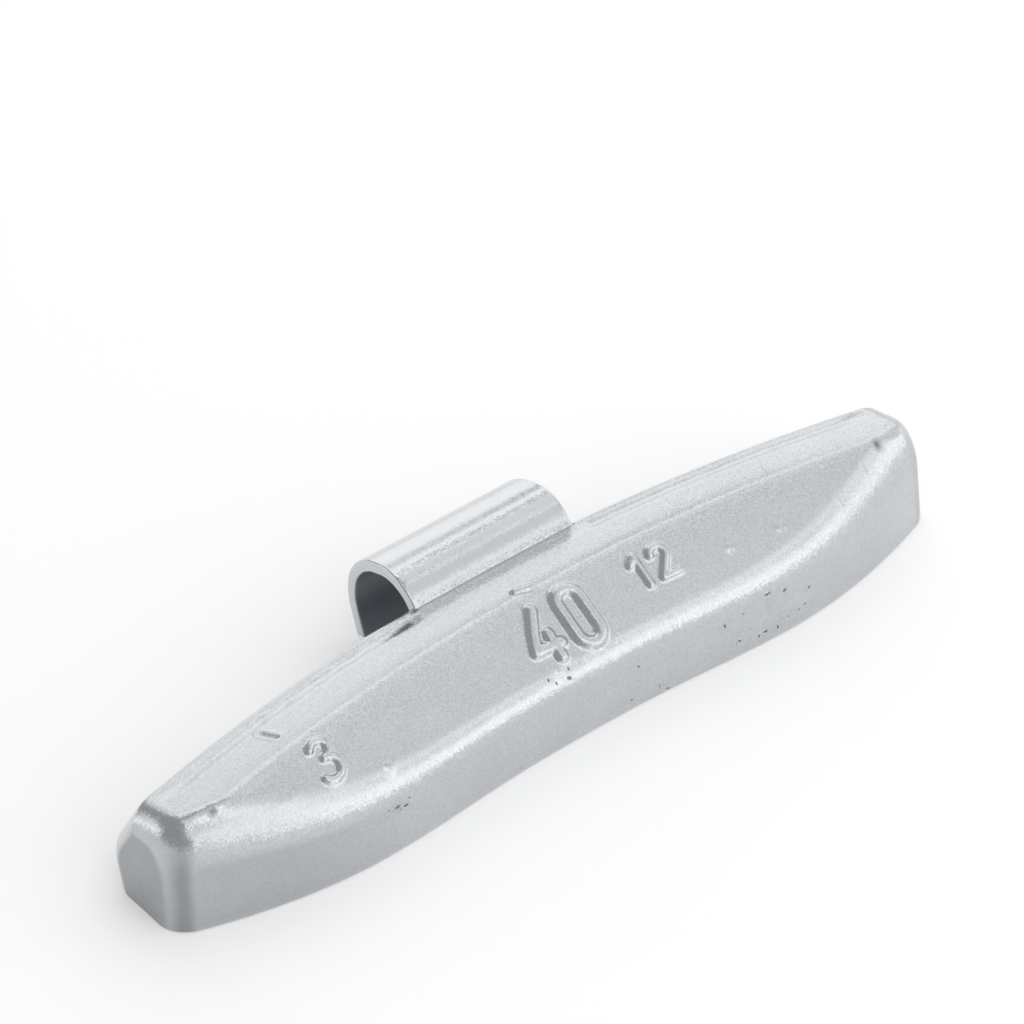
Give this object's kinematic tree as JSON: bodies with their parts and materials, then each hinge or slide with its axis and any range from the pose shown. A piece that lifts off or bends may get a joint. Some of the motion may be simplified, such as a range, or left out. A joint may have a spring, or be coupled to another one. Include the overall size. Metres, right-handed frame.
{
  "type": "wheel balance weight",
  "caption": "Clip-on wheel balance weight: a curved cast zinc bar with a sprung steel clip that grips the lip of a wheel rim, painted silver.",
  "frame": {"origin": "middle of the flat back, on which the weight lies", "axes": "+X along the bar, +Y outwards from the wheel's axle towards the clip, +Z away from the wheel"},
  "size_m": [0.0666, 0.0195, 0.009],
  "materials": {
    "silver_cast": "silver paint with fine metal flake over an as-cast zinc surface, satin",
    "silver_strip": "silver paint with fine metal flake over smooth bent steel strip, satin"
  },
  "bodies": {
    "root": {"weight_body": "silver_cast", "spring_clip": "silver_strip"}
  },
  "joints": []
}
